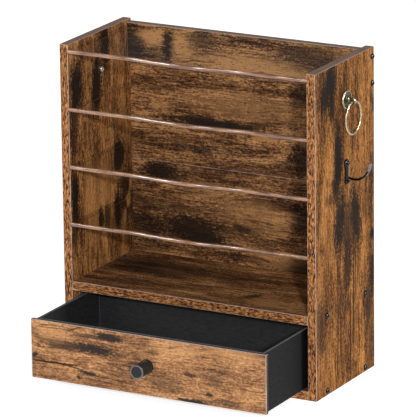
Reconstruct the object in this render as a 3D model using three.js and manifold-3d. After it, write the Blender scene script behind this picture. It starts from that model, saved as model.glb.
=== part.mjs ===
// Desk organizer: a board carcass with four slide-in acrylic shelves, a drawer at the
// bottom, and a ring pull and a hook on each side. Millimetres, +X right, +Y rear, +Z up.
// The origin is the centre of the carcass's footprint, on the surface it stands on.
import * as THREE from 'three';
import { mergeVertices } from 'three/addons/utils/BufferGeometryUtils.js';
import Module from 'manifold-3d';

const wasm = await Module();
wasm.setup();

// Carcass
const WIDTH = 335;
const DEPTH = 150;
const HEIGHT = 390;
const BOARD = 11;
const JOINT_GAP = 0.2;
const DRAWER_SHELF_TOP = 102;
const RAIL_TOP = 387;
const RAIL_BOTTOM = 337;
const BACK_THICKNESS = 3;
const BACK_REBATE = 5;

// Acrylic shelves, held in grooves that are open at the front
const SHELF_COUNT = 4;
const SHELF_PITCH = 70;
const SHELF_THICKNESS = 5;
const LOWEST_SHELF_Z = 171.5;
const SHELF_REAR_GAP = 0.5;
const GROOVE_DEPTH = 3.4;
const GROOVE_PLAY = 0.4;
const WAVE_REACH = 5;
const WAVE_SHARE = 0.52;
const WAVE_STEPS = 24;

// Drawer: an open box of thin fibreboard behind a printed front
const DRAWER_OPEN = 100;
const DRAWER_LENGTH = 146.6;
const FRONT_WIDTH = 310;
const FRONT_HEIGHT = 72;
const FRONT_THICKNESS = 5;
const FRONT_LIFT = 1.6;
const DRAWER_WALL = 3;
const DRAWER_WIDTH = 299;
const RUNNING_GAP = 0.4;

// Fasteners
const SCREW_Y = [-48, 50];
const RAIL_SCREW_DROP = [8, 40];
const SCREW_HEAD_RADIUS = 3.6;
const SCREW_HEAD_HEIGHT = 2.4;
const SCREW_RADIUS = 1.75;
const SCREW_LENGTH = 30;
const HOLE_PLAY = 0.25;
const PIN_RADIUS = 0.7;
const PIN_LENGTH = 12;
const PIN_HEAD_RADIUS = 1.8;
const PIN_HEAD_HEIGHT = 0.6;

// Ring pull
const HARDWARE_Y = 1.5;
const RING_PULL_Z = 343.5;
const ROSETTE_RADIUS = 11.3;
const ROSETTE_THICKNESS = 3.6;
const RING_RADIUS = 19.1;
const RING_WIRE = 1.5;
const EYE_REACH = 9.6;
const EYE_DROP = 1.5;
const EYE_HOLE = 1.95;
const STUD_RADIUS = 1.5;
const NUT_ACROSS = 5.5;
const NUT_HEIGHT = 2.4;

// Hook
const HOOK_Z = 257;
const HOOK_PLATE = 3.4;
const HOOK_SCREW_Z = [10.6, -11];
const HOOK_SCREW_RADIUS = 1.2;
const HOOK_SCREW_LENGTH = 10;
const HOOK_ARM_RADIUS = 1.9;

// Knob
const KNOB_RADIUS = 8.6;
const KNOB_LENGTH = 25;
const KNOB_WAIST = 5.6;

const HALF_WIDTH = WIDTH / 2;
const INNER_HALF = HALF_WIDTH - BOARD;
const FRONT_Y = -DEPTH / 2;
const REAR_Y = DEPTH / 2;
const BACK_FACE_Y = REAR_Y - BACK_THICKNESS;
const RAIL_FACE_Y = REAR_Y - BOARD;
const SHELF_REAR_Y = RAIL_FACE_Y - SHELF_REAR_GAP;
const SIDES = [{ name: 'left', sign: -1 }, { name: 'right', sign: 1 }];

const finish = (color, roughness, metalness) =>
  new THREE.MeshStandardMaterial({ color, roughness, metalness });
const rusticBoard = finish(0x7a4a25, 0.6, 0);
const acrylic = finish(0xd9c3b4, 0.08, 0);
acrylic.transparent = true;
acrylic.opacity = 0.3;
const blackFibreboard = finish(0x1d1f22, 0.75, 0);
const blackMetal = finish(0x111214, 0.35, 0.8);
const antiqueBrass = finish(0xa89c7c, 0.32, 1);
const steel = finish(0xb9bcc0, 0.3, 1);

// Solids -----------------------------------------------------------------------------------

function toSolid(geometry) {
  const bare = geometry.clone();
  bare.deleteAttribute('normal');
  bare.deleteAttribute('uv');
  const merged = mergeVertices(bare, 1e-4);
  return new wasm.Manifold(new wasm.Mesh({
    numProp: 3,
    vertProperties: new Float32Array(merged.attributes.position.array),
    triVerts: new Uint32Array(merged.index.array),
  }));
}

function toGeometry(solid) {
  const mesh = solid.getMesh();
  const geometry = new THREE.BufferGeometry();
  geometry.setAttribute('position', new THREE.BufferAttribute(mesh.vertProperties, 3));
  geometry.setIndex(new THREE.BufferAttribute(mesh.triVerts, 1));
  geometry.computeVertexNormals();
  return geometry;
}

function cut(blank, cutters) {
  return toGeometry(cutters.reduce((solid, cutter) => solid.subtract(toSolid(cutter)), toSolid(blank)));
}

function join(pieces) {
  return pieces.map(toSolid).reduce((solid, piece) => solid.add(piece));
}

// A box between two corners, given as [x, y, z] in any order.
function boxBetween(a, b) {
  const size = a.map((value, i) => Math.abs(b[i] - value));
  const geometry = new THREE.BoxGeometry(...size);
  geometry.translate(...a.map((value, i) => (b[i] + value) / 2));
  return geometry;
}

// A round bar of the given radius from start, running length along +X, +Y or +Z.
function bar(axis, start, length, radius, segments = 12) {
  const geometry = new THREE.CylinderGeometry(radius, radius, Math.abs(length), segments);
  geometry.translate(0, length / 2, 0);
  if (axis === 'x') geometry.rotateZ(-Math.PI / 2);
  if (axis === 'z') geometry.rotateX(Math.PI / 2);
  geometry.translate(...start);
  return geometry;
}

// A turned piece: profile points are [distance along +X, radius].
function turned(profile, segments) {
  const points = profile.map(([along, radius]) => new THREE.Vector2(radius, along));
  const geometry = new THREE.LatheGeometry(points, segments);
  geometry.rotateZ(-Math.PI / 2);
  return geometry;
}

function piece(name, geometry, material, parent, position = [0, 0, 0]) {
  const mesh = new THREE.Mesh(geometry, material);
  mesh.name = name;
  mesh.position.set(...position);
  parent.add(mesh);
  return mesh;
}

// Layout -----------------------------------------------------------------------------------

const shelfHeights = Array.from({ length: SHELF_COUNT }, (_, i) => LOWEST_SHELF_Z + i * SHELF_PITCH);

// Where each side screw passes, by the board it holds.
const boardScrews = {
  bottom: SCREW_Y.map((y) => [y, BOARD / 2]),
  shelf: SCREW_Y.map((y) => [y, DRAWER_SHELF_TOP - BOARD / 2]),
  rail: RAIL_SCREW_DROP.map((drop) => [REAR_Y - BOARD / 2, RAIL_TOP - drop]),
};

// Where each pin goes through the back panel, and what it goes into.
const pinSpots = {
  bottom: [-80, 80].map((x) => [x, BOARD / 2]),
  shelf: [-80, 80].map((x) => [x, DRAWER_SHELF_TOP - BOARD / 2]),
  left: [150, 260].map((z) => [-(INNER_HALF + BACK_REBATE / 2), z]),
  right: [150, 260].map((z) => [INNER_HALF + BACK_REBATE / 2, z]),
};

const pinHole = ([x, z]) =>
  bar('y', [x, REAR_Y + 1, z], -(PIN_LENGTH + 2), PIN_RADIUS + HOLE_PLAY, 8);

// Carcass ----------------------------------------------------------------------------------

function sidePanel({ name, sign }) {
  const outer = sign * HALF_WIDTH;
  const inner = sign * INNER_HALF;
  const open = inner - sign;
  const blank = boxBetween([outer, FRONT_Y, 0], [inner, REAR_Y, HEIGHT]);
  const half = SHELF_THICKNESS / 2 + GROOVE_PLAY;
  const grooves = shelfHeights.map((z) => boxBetween(
    [open, FRONT_Y - 1, z - half],
    [inner + sign * GROOVE_DEPTH, SHELF_REAR_Y + GROOVE_PLAY, z + half],
  ));
  const rebate = boxBetween(
    [open, BACK_FACE_Y - JOINT_GAP, -1],
    [inner + sign * BACK_REBATE, REAR_Y + 1, RAIL_BOTTOM],
  );
  const screwHoles = Object.values(boardScrews).flat().map(([y, z]) =>
    bar('x', [-sign + inner, y, z], sign * (BOARD + 2), SCREW_RADIUS + HOLE_PLAY));
  const studHole = bar('x', [-sign + inner, HARDWARE_Y, RING_PULL_Z], sign * (BOARD + 2),
    STUD_RADIUS + HOLE_PLAY);
  const hookHoles = HOOK_SCREW_Z.map((z) => bar('x', [outer + sign, HARDWARE_Y, HOOK_Z + z],
    -sign * HOOK_SCREW_LENGTH, HOOK_SCREW_RADIUS + HOLE_PLAY, 12));
  const pinHoles = pinSpots[name].map(pinHole);
  return cut(blank, [...grooves, rebate, ...screwHoles, studHole, ...hookHoles, ...pinHoles]);
}

// A board between the sides, with a pilot hole in its ends for each side screw.
function crossBoard(yRange, zRange, screws, pins = []) {
  const halfLength = INNER_HALF - JOINT_GAP;
  const blank = boxBetween([-halfLength, yRange[0], zRange[0]], [halfLength, yRange[1], zRange[1]]);
  const depth = SCREW_LENGTH - BOARD + 2;
  const holes = SIDES.flatMap(({ sign }) => screws.map(([y, z]) =>
    bar('x', [sign * (halfLength + 1), y, z], -sign * depth, SCREW_RADIUS + HOLE_PLAY)));
  return cut(blank, [...holes, ...pins.map(pinHole)]);
}

function backPanel() {
  const half = INNER_HALF + BACK_REBATE - JOINT_GAP;
  const blank = boxBetween([-half, BACK_FACE_Y, 0], [half, REAR_Y, RAIL_BOTTOM - JOINT_GAP]);
  return cut(blank, Object.values(pinSpots).flat().map(pinHole));
}

function addCarcass(parent) {
  SIDES.forEach((side) => piece(`${side.name}_side_panel`, sidePanel(side), rusticBoard, parent));
  const boardRear = BACK_FACE_Y - JOINT_GAP;
  piece('bottom_board',
    crossBoard([FRONT_Y, boardRear], [0, BOARD], boardScrews.bottom, pinSpots.bottom),
    rusticBoard, parent);
  piece('drawer_shelf',
    crossBoard([FRONT_Y, boardRear], [DRAWER_SHELF_TOP - BOARD, DRAWER_SHELF_TOP],
      boardScrews.shelf, pinSpots.shelf),
    rusticBoard, parent);
  piece('top_back_rail',
    crossBoard([RAIL_FACE_Y, REAR_Y], [RAIL_BOTTOM, RAIL_TOP], boardScrews.rail),
    rusticBoard, parent);
  piece('back_panel', backPanel(), rusticBoard, parent);
}

// Acrylic shelf: straight ends and rear, and a front edge that waves forward in the middle.
function shelfGeometry() {
  const half = INNER_HALF + GROOVE_DEPTH - GROOVE_PLAY;
  const outline = new THREE.Shape();
  outline.moveTo(half, SHELF_REAR_Y);
  outline.lineTo(-half, SHELF_REAR_Y);
  outline.lineTo(-half, FRONT_Y);
  for (let i = 0; i <= WAVE_STEPS; i += 1) {
    const across = i / WAVE_STEPS;
    const wave = WAVE_REACH * Math.sin(Math.PI * across) ** 2;
    outline.lineTo(WAVE_SHARE * INNER_HALF * (2 * across - 1), FRONT_Y - wave);
  }
  outline.lineTo(half, FRONT_Y);
  const geometry = new THREE.ExtrudeGeometry(outline, { depth: SHELF_THICKNESS, bevelEnabled: false });
  geometry.translate(0, 0, -SHELF_THICKNESS / 2);
  return geometry;
}

function addShelves(parent) {
  const geometry = shelfGeometry();
  shelfHeights.forEach((z, i) => piece(`acrylic_shelf_${i + 1}`, geometry, acrylic, parent, [0, 0, z]));
}

// Fasteners --------------------------------------------------------------------------------

// Round-headed screw, head towards +X, with its under-head face just off the surface at x = 0.
function screwGeometry(headRadius, headHeight, radius, length) {
  const lift = JOINT_GAP / 2;
  return turned([
    [lift - length, 0],
    [lift - length + radius * 2, radius],
    [lift, radius],
    [lift, headRadius],
    [lift + headHeight * 0.6, headRadius],
    [lift + headHeight, headRadius * 0.72],
    [lift + headHeight, 0],
  ], 12);
}

function addSideScrews(parent) {
  const geometry = screwGeometry(SCREW_HEAD_RADIUS, SCREW_HEAD_HEIGHT, SCREW_RADIUS, SCREW_LENGTH);
  SIDES.forEach((side) => {
    Object.entries(boardScrews).forEach(([board, spots]) => spots.forEach(([y, z], i) => {
      const screw = piece(`${side.name}_${board}_screw_${i + 1}`, geometry, blackMetal, parent,
        [side.sign * HALF_WIDTH, y, z]);
      if (side.sign < 0) screw.rotation.z = Math.PI;
    }));
  });
}

function addBackPins(parent) {
  const geometry = turned([
    [-PIN_LENGTH, 0],
    [-PIN_LENGTH + PIN_RADIUS * 2, PIN_RADIUS],
    [0.05, PIN_RADIUS],
    [0.05, PIN_HEAD_RADIUS],
    [PIN_HEAD_HEIGHT, PIN_HEAD_RADIUS],
    [PIN_HEAD_HEIGHT, 0],
  ], 8);
  Object.values(pinSpots).flat().forEach(([x, z], i) => {
    const pin = piece(`back_pin_${i + 1}`, geometry, steel, parent, [x, REAR_Y, z]);
    pin.rotation.z = Math.PI / 2;
  });
}

// Ring pulls and hooks, each modelled on a surface at x = 0 that faces +X -------------------

function addRingPull(name, parent) {
  const hole = STUD_RADIUS + HOLE_PLAY;
  const lift = JOINT_GAP / 2;
  piece(`${name}_ring_rosette`, turned([
    [lift, hole],
    [lift, ROSETTE_RADIUS],
    [lift + 0.9, ROSETTE_RADIUS],
    [ROSETTE_THICKNESS - 0.3, ROSETTE_RADIUS - 1.2],
    [ROSETTE_THICKNESS - 0.6, ROSETTE_RADIUS - 3],
    [ROSETTE_THICKNESS, hole + 1.4],
    [ROSETTE_THICKNESS, hole],
    [lift, hole],
  ], 24), antiqueBrass, parent);

  const seat = ROSETTE_THICKNESS + lift;
  const shank = turned([
    [-(BOARD + NUT_HEIGHT + 1.4), 0],
    [-(BOARD + NUT_HEIGHT + 1.4), STUD_RADIUS],
    [seat, STUD_RADIUS],
    [seat, 2.9],
    [seat + 1.2, 2.9],
    [seat + 1.8, 2],
    [EYE_REACH, 2],
    [EYE_REACH, 0],
  ], 16);
  const head = new THREE.CylinderGeometry(1, 1, 4, 20);
  head.scale(3.8, 1, 4.4);
  head.translate(EYE_REACH, 0, -EYE_DROP + 0.6);
  const eyeHole = bar('y', [EYE_REACH, -4, -EYE_DROP], 8, EYE_HOLE, 20);
  piece(`${name}_ring_eye_stud`,
    toGeometry(join([shank, head]).subtract(toSolid(eyeHole))), antiqueBrass, parent);

  const ring = piece(`${name}_pull_ring`, new THREE.TorusGeometry(RING_RADIUS, RING_WIRE, 8, 44),
    antiqueBrass, parent, [EYE_REACH, 0, -EYE_DROP - RING_RADIUS]);
  ring.rotation.y = Math.PI / 2;

  const corners = Array.from({ length: 6 }, (_, i) => new THREE.Vector2(NUT_ACROSS / Math.sqrt(3), 0)
    .rotateAround(new THREE.Vector2(), (i * Math.PI) / 3));
  const hexagon = new THREE.Shape(corners);
  hexagon.holes.push(new THREE.Path().absarc(0, 0, hole, 0, 2 * Math.PI, true));
  const nutGeometry = new THREE.ExtrudeGeometry(hexagon,
    { depth: NUT_HEIGHT, bevelEnabled: false, curveSegments: 12 });
  const nut = piece(`${name}_ring_nut`, nutGeometry, steel, parent, [-BOARD - NUT_HEIGHT - lift, 0, 0]);
  nut.rotation.y = Math.PI / 2;
}

function hookGeometry() {
  // Backplate outline in (y, z): a round lobe at each screw and a slimmer neck between them.
  const [topZ, lowZ] = HOOK_SCREW_Z;
  const topRadius = 4.9;
  const lowRadius = 4.2;
  const plateShape = new THREE.Shape();
  plateShape.absarc(0, topZ, topRadius, -0.25 * Math.PI, 1.25 * Math.PI, false);
  plateShape.quadraticCurveTo(-2.2, 0, -lowRadius * Math.SQRT1_2, lowZ + lowRadius * Math.SQRT1_2);
  plateShape.absarc(0, lowZ, lowRadius, 0.75 * Math.PI, 2.25 * Math.PI, false);
  plateShape.quadraticCurveTo(2.2, 0, topRadius * Math.SQRT1_2, topZ - topRadius * Math.SQRT1_2);
  const plate = new THREE.ExtrudeGeometry(plateShape,
    { depth: HOOK_PLATE, bevelEnabled: false, curveSegments: 8 });
  plate.rotateX(Math.PI / 2);
  plate.rotateZ(Math.PI / 2);
  plate.translate(JOINT_GAP / 2, 0, 0);

  const armLine = new THREE.CatmullRomCurve3([
    [1.2, -5.2], [6, -7], [12, -7.4], [18, -6.3], [24, -2.6], [28.4, 3], [30.3, 8.9],
  ].map(([x, z]) => new THREE.Vector3(x, 0, z)));
  const section = new THREE.Shape().absarc(0, 0, HOOK_ARM_RADIUS, 0, 2 * Math.PI, false);
  const arm = new THREE.ExtrudeGeometry(section,
    { steps: 16, extrudePath: armLine, bevelEnabled: false, curveSegments: 5 });

  const spoon = new THREE.SphereGeometry(1, 14, 9);
  spoon.scale(1.5, 5.2, 5.6);
  spoon.rotateY(0.16);
  spoon.translate(30.2, 0, 8.9);

  const screwHoles = HOOK_SCREW_Z.map((z) =>
    bar('x', [-1, 0, z], HOOK_PLATE + 4, HOOK_SCREW_RADIUS + HOLE_PLAY, 12));
  const body = join([plate, arm, spoon]);
  return toGeometry(screwHoles.reduce((solid, hole) => solid.subtract(toSolid(hole)), body));
}

function addHook(name, parent) {
  piece(`${name}_hook`, hookGeometry(), blackMetal, parent);
  const screw = screwGeometry(2.3, 1.3, HOOK_SCREW_RADIUS, HOOK_SCREW_LENGTH);
  HOOK_SCREW_Z.forEach((z, i) => piece(`${name}_hook_screw_${i + 1}`, screw, blackMetal, parent,
    [HOOK_PLATE + JOINT_GAP / 2, 0, z]));
}

function addSideHardware(parent) {
  SIDES.forEach(({ name, sign }) => {
    const pull = new THREE.Group();
    const hook = new THREE.Group();
    pull.position.set(sign * HALF_WIDTH, HARDWARE_Y, RING_PULL_Z);
    hook.position.set(sign * HALF_WIDTH, HARDWARE_Y, HOOK_Z);
    if (sign < 0) {
      pull.rotation.z = Math.PI;
      hook.rotation.z = Math.PI;
    }
    addRingPull(name, pull);
    addHook(name, hook);
    parent.add(pull, hook);
  });
}

// Drawer, modelled closed and pulled out by its group ---------------------------------------

function addDrawer(parent) {
  const drawer = new THREE.Group();
  drawer.position.y = -DRAWER_OPEN;
  parent.add(drawer);

  const low = BOARD + RUNNING_GAP;
  const top = BOARD + FRONT_LIFT + FRONT_HEIGHT;
  const frontRear = FRONT_Y + FRONT_THICKNESS;
  const boxFront = frontRear + JOINT_GAP;
  const boxRear = FRONT_Y + DRAWER_LENGTH;
  const outer = DRAWER_WIDTH / 2;
  const inner = outer - DRAWER_WALL;
  const knobZ = top - FRONT_HEIGHT / 2;
  const fixingX = 95;
  const fixings = [0, -fixingX, fixingX].map((x) =>
    bar('y', [x, FRONT_Y + 1, knobZ], FRONT_THICKNESS + DRAWER_WALL + 1, 1.6 + HOLE_PLAY, 14));
  const knobHole = bar('y', [0, FRONT_Y - 1, knobZ], 4, 1.6 + HOLE_PLAY, 14);

  piece('drawer_front',
    cut(boxBetween([-FRONT_WIDTH / 2, FRONT_Y, BOARD + FRONT_LIFT], [FRONT_WIDTH / 2, frontRear, top]),
      [knobHole, ...fixings]), rusticBoard, drawer);
  piece('drawer_box_front',
    cut(boxBetween([-inner + JOINT_GAP, boxFront, low], [inner - JOINT_GAP, boxFront + DRAWER_WALL, top]),
      fixings), blackFibreboard, drawer);
  SIDES.forEach(({ name, sign }) => piece(`drawer_${name}_wall`,
    boxBetween([sign * outer, boxFront, low], [sign * inner, boxRear, top]), blackFibreboard, drawer));
  piece('drawer_back_wall',
    boxBetween([-inner + JOINT_GAP, boxRear - DRAWER_WALL, low], [inner - JOINT_GAP, boxRear, top]),
    blackFibreboard, drawer);
  piece('drawer_floor',
    boxBetween([-inner + JOINT_GAP, boxFront + DRAWER_WALL + JOINT_GAP, low],
      [inner - JOINT_GAP, boxRear - DRAWER_WALL - JOINT_GAP, low + DRAWER_WALL]),
    blackFibreboard, drawer);

  // Knob, turned about the drawer's pull direction: flange, waist and a plain round body,
  // with a blind bore for its screw.
  const knob = piece('drawer_knob', turned([
    [0, 1.9],
    [0, KNOB_RADIUS - 0.5],
    [0.6, KNOB_RADIUS],
    [4.6, KNOB_RADIUS],
    [5.4, KNOB_WAIST],
    [8.2, KNOB_WAIST],
    [9.2, KNOB_RADIUS - 0.4],
    [KNOB_LENGTH - 3, KNOB_RADIUS - 0.4],
    [KNOB_LENGTH - 2.6, KNOB_RADIUS],
    [KNOB_LENGTH - 0.7, KNOB_RADIUS],
    [KNOB_LENGTH, KNOB_RADIUS - 0.7],
    [KNOB_LENGTH, 0],
    [12, 0],
    [12, 1.9],
    [0, 1.9],
  ], 28), blackMetal, drawer, [0, FRONT_Y - JOINT_GAP / 2, knobZ]);
  knob.rotation.z = -Math.PI / 2;

  const innerFace = boxFront + DRAWER_WALL;
  const knobScrew = piece('drawer_knob_screw', screwGeometry(3.6, 2.2, 1.6, 18), steel, drawer,
    [0, innerFace, knobZ]);
  knobScrew.rotation.z = Math.PI / 2;
  [-fixingX, fixingX].forEach((x, i) => {
    const screw = piece(`drawer_front_screw_${i + 1}`, screwGeometry(3, 1.6, 1.6, 7), steel, drawer,
      [x, innerFace, knobZ]);
    screw.rotation.z = Math.PI / 2;
  });
}

const group = new THREE.Group();
addCarcass(group);
addShelves(group);
addSideScrews(group);
addBackPins(group);
addSideHardware(group);
addDrawer(group);

export default group;
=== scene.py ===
"""The looks of the desk organizer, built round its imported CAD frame.

Lengths are metres in the CAD's own frame: +X right, +Y rear, +Z up. Grain sizes and the places of the
marks in the wood print are millimetres, which read better for a printed board.
"""
import math
from itertools import product

import bmesh
import bpy
from mathutils import Matrix, Quaternion, Vector


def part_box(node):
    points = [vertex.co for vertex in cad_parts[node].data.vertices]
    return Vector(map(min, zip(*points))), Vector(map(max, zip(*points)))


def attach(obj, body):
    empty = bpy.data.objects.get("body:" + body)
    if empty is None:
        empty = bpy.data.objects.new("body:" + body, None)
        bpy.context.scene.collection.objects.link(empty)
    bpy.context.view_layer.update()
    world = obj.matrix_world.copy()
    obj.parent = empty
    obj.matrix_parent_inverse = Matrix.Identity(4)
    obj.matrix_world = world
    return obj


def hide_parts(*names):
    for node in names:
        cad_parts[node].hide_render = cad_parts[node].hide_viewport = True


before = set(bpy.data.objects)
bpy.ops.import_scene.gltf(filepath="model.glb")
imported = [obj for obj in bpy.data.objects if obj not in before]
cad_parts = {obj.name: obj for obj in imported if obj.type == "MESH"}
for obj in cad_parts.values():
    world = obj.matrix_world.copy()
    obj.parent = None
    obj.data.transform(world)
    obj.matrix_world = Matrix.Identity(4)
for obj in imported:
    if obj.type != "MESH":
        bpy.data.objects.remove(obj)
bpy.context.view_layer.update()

MM = 0.001

ARRIS = 0.55 * MM
THIN_ARRIS = 0.4 * MM
WIDE_ARRIS = 0.8 * MM
GROOVE_PLAY = 0.15 * MM
GROOVE_SEEN = 1.2 * MM
REBATE_PLAY = 0.2 * MM

WAVE_REACH = 5 * MM
WAVE_SHARE = 0.52
WAVE_STEPS = 96
ACRYLIC_ARRIS = 2.0 * MM

AXES = {"X": 0, "Y": 1, "Z": 2}
SIDES = {"left": -1, "right": 1}
SHELF_NUMBERS = range(1, 5)


# Colours and node graphs

def linear(tone):
    """A colour of 0 to 255 on the screen, in the renderer's own linear values."""
    shares = [value / 255 for value in tone]
    return (*(share / 12.92 if share <= 0.04045 else ((share + 0.055) / 1.055) ** 2.4
              for share in shares), 1.0)


class Graph:
    """One material's nodes. A value may be a number, a vector, a colour or another node's output."""

    def __init__(self, name):
        self.material = bpy.data.materials.new(name)
        self.material.use_nodes = True
        self.nodes = self.material.node_tree.nodes
        self.links = self.material.node_tree.links
        self.shader = self.nodes["Principled BSDF"]
        coordinates = self.nodes.new("ShaderNodeTexCoord")
        self.place = self.vector("SCALE", coordinates.outputs["Object"], scale=1 / MM)

    def put(self, socket, value):
        """Links an output to the socket, or sets the socket's own value."""
        if isinstance(value, bpy.types.NodeSocket):
            self.links.new(value, socket)
        else:
            socket.default_value = linear(value) if socket.type == "RGBA" else value

    def finish(self, **values):
        """Sets the shader's sockets by name, with underscores for spaces."""
        for name, value in values.items():
            self.put(self.shader.inputs[name.replace("_", " ")], value)
        return self.material

    def add(self, kind, *values, **settings):
        """Makes a node with its settings, and puts the values in its first sockets."""
        made = self.nodes.new(kind)
        for name, setting in settings.items():
            setattr(made, name, setting)
        for socket, value in zip(made.inputs, values):
            self.put(socket, value)
        return made

    def math(self, operation, *values):
        return self.add("ShaderNodeMath", *values, operation=operation).outputs[0]

    def spread(self, value, amount, base=0.0):
        """The base, plus amount times how far the value is from its middle of 0.5."""
        return self.math("MULTIPLY_ADD", self.math("SUBTRACT", value, 0.5), amount, base)

    def vector(self, operation, *values, scale=None):
        made = self.add("ShaderNodeVectorMath", *values, operation=operation)
        if scale is not None:
            made.inputs["Scale"].default_value = scale
        return made.outputs["Value" if operation == "LENGTH" else "Vector"]

    def reorder(self, place, order):
        """The place's coordinates in another order, so that the first runs along the grain."""
        parts = self.add("ShaderNodeSeparateXYZ", place)
        ordered = [parts.outputs[AXES[axis]] for axis in order]
        return self.add("ShaderNodeCombineXYZ", *ordered).outputs[0]

    def noise(self, place, size, detail=4.0, roughness=0.55, seed=0.0, output="Fac"):
        """Noise whose features are about size millimetres along each axis."""
        shifted = self.vector("ADD", place, (seed * 131.0, seed * 57.0, seed * 89.0))
        made = self.add("ShaderNodeTexNoise", self.vector("DIVIDE", shifted, size))
        for name, value in (("Scale", 1.0), ("Detail", detail), ("Roughness", roughness)):
            made.inputs[name].default_value = value
        return made.outputs[output]

    def drift(self, place, size, reach, detail, roughness, seed):
        """The place shifted by noise of that size, by up to half of reach along each axis."""
        shift = self.noise(place, size, detail, roughness, seed, "Color")
        shift = self.vector("MULTIPLY", self.vector("SUBTRACT", shift, (0.5, 0.5, 0.5)), reach)
        return self.vector("ADD", place, shift)

    def step(self, value, start, end, low=0.0, high=1.0):
        """Goes smoothly from low to high as value goes from start to end, up or down."""
        if start > end:
            start, end, low, high = end, start, high, low
        return self.add("ShaderNodeMapRange", value, start, end, low, high,
                        interpolation_type="SMOOTHSTEP").outputs[0]

    def mix(self, amount, first, second):
        """Two colours mixed. The node's colour sockets are its seventh and eighth."""
        made = self.add("ShaderNodeMix", amount, data_type="RGBA")
        self.put(made.inputs[6], first)
        self.put(made.inputs[7], second)
        return made.outputs[2]

    def ramp(self, value, *stops):
        """A colour from the value, through stops of (position, colour)."""
        made = self.add("ShaderNodeValToRGB", value)
        elements = made.color_ramp.elements
        for i, (position, tone) in enumerate(stops):
            element = elements[i] if i < len(elements) else elements.new(position)
            element.position = position
            element.color = linear(tone)
        return made.outputs[0]

    def bump(self, height, strength, distance):
        made = self.nodes.new("ShaderNodeBump")
        made.inputs["Strength"].default_value = strength
        made.inputs["Distance"].default_value = distance
        self.put(made.inputs["Height"], height)
        self.put(self.shader.inputs["Normal"], made.outputs[0])


# Wood print

# A mark is (kind, along the grain, across it, half length, half width, strength), in the frame's
# millimetres, and then its turn in degrees if it has one. Each kind has a tone, the two distances, in
# the mark's half sizes, between which it fades, and how ragged its outline is.
MARK_KINDS = {
    "dark": ("charcoal", 1.5, 0.65, 1.0),
    "gold": ("gold", 1.5, 0.4, 1.0),
    "knot": ("charcoal", 1.2, 0.7, 0.5),
    "crack": ("crack", 1.3, 0.6, 0.5),
    "pale": ("pale", 1.1, 0.6, 0.0),
}
STRAIGHT_KINDS = ("pale", "crack")
KNOT_RING_RATE = 17.0


def printed_wood(name, along, across, tones, marks=(), seed=0.0, patches=0.5, contrast=1.0):
    """Rustic wood print: streaked fibres, dark feathered patches, pores, cracks and its own marks."""
    graph = Graph(name)
    depth = next(axis for axis in "XYZ" if axis not in (along, across))
    place = graph.reorder(graph.place, (along, across, depth))
    flow = graph.drift(place, (80, 30, 30), (0, 12, 12), 2.0, 0.5, seed + 1)

    bands = graph.noise(flow, (110, 20, 20), 4.0, 0.55, seed + 2)
    grain = graph.noise(flow, (48, 2.3, 2.3), 4.0, 0.65, seed + 3)
    fibres = graph.noise(flow, (15, 1.4, 1.4), 3.0, 0.7, seed + 4)
    speckle = graph.noise(place, (3.0, 2.0, 2.0), 3.0, 0.65, seed + 5)
    tone = graph.spread(bands, 1.7 * contrast, 0.5)
    for part, weight in ((grain, 1.5), (fibres, 1.5), (speckle, 1.7)):
        tone = graph.spread(part, weight * contrast, tone)
    wood = graph.ramp(tone, (0.1, tones["deep"]), (0.5, tones["brown"]), (0.85, tones["gold"]))

    patch = graph.noise(flow, (60, 19, 19), 5.0, 0.62, seed + 6)
    patch = graph.spread(speckle, 0.25, graph.spread(grain, 0.6, patch))
    wood = graph.mix(graph.step(patch, 0.54, 0.72, 0.0, patches), wood, tones["charcoal"])

    feather = graph.spread(graph.noise(flow, (16, 1.5, 1.5), 4.0, 0.65, seed + 7), 1.8)
    feather = graph.spread(speckle, 1.6, feather)
    swayed = graph.drift(place, (24, 9, 9), (16, 7, 0), 3.0, 0.55, seed + 11)
    wood = add_marks(graph, wood, tones, marks, place, swayed, feather)

    pores = graph.noise(place, (4.2, 1.9, 1.9), 2.0, 0.5, seed + 8)
    wood = graph.mix(graph.step(pores, 0.58, 0.68, 0.0, 0.6), wood, tones["deep"])
    contour = graph.noise(flow, (110, 7.5, 7.5), 1.5, 0.5, seed + 9)
    contour = graph.math("ABSOLUTE", graph.math("SUBTRACT", contour, 0.5))
    broken = graph.step(graph.noise(place, (34, 9, 9), 2.0, 0.5, seed + 10), 0.5, 0.6)
    cracks = graph.math("MULTIPLY", graph.step(contour, 0.045, 0.012), broken)
    wood = graph.mix(graph.math("MULTIPLY", cracks, 0.6), wood, tones["crack"])

    graph.bump(graph.math("SUBTRACT", graph.math("ADD", grain, fibres), cracks), 0.25, 0.15 * MM)
    return graph.finish(Base_Color=wood, Roughness=graph.step(grain, 0.3, 0.7, 0.66, 0.54),
                        Specular_IOR_Level=0.03)


def add_marks(graph, wood, tones, marks, place, swayed, feather):
    """Lays the marks over the wood. Pale lines and cracks run straight, the others sway."""
    flat_place, flat_swayed = (graph.vector("MULTIPLY", spot, (1, 1, 0)) for spot in (place, swayed))
    for kind, centre_along, centre_across, half_length, half_width, strength, *turn in marks:
        tone_name, far, near, raggedness = MARK_KINDS[kind]
        local = graph.add("ShaderNodeMapping", flat_place if kind in STRAIGHT_KINDS else flat_swayed,
                          (centre_along, centre_across, 0), (0, 0, math.radians(sum(turn))),
                          (half_length, half_width, 1), vector_type="TEXTURE")
        distance = graph.vector("LENGTH", local.outputs[0])
        ragged = graph.math("MULTIPLY_ADD", feather, raggedness, distance)
        wood = graph.mix(graph.step(ragged, far, near, 0.0, strength), wood, tones[tone_name])
        if kind == "knot":
            rings = graph.math("SINE", graph.math("MULTIPLY", distance, KNOT_RING_RATE))
            near_knot = graph.step(distance, 1.9, 1.0, 0.0, 0.6)
            ring_cover = graph.math("MULTIPLY", graph.step(rings, 0.0, 0.9), near_knot)
            wood = graph.mix(ring_cover, wood, tones["charcoal"])
    return wood


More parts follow.
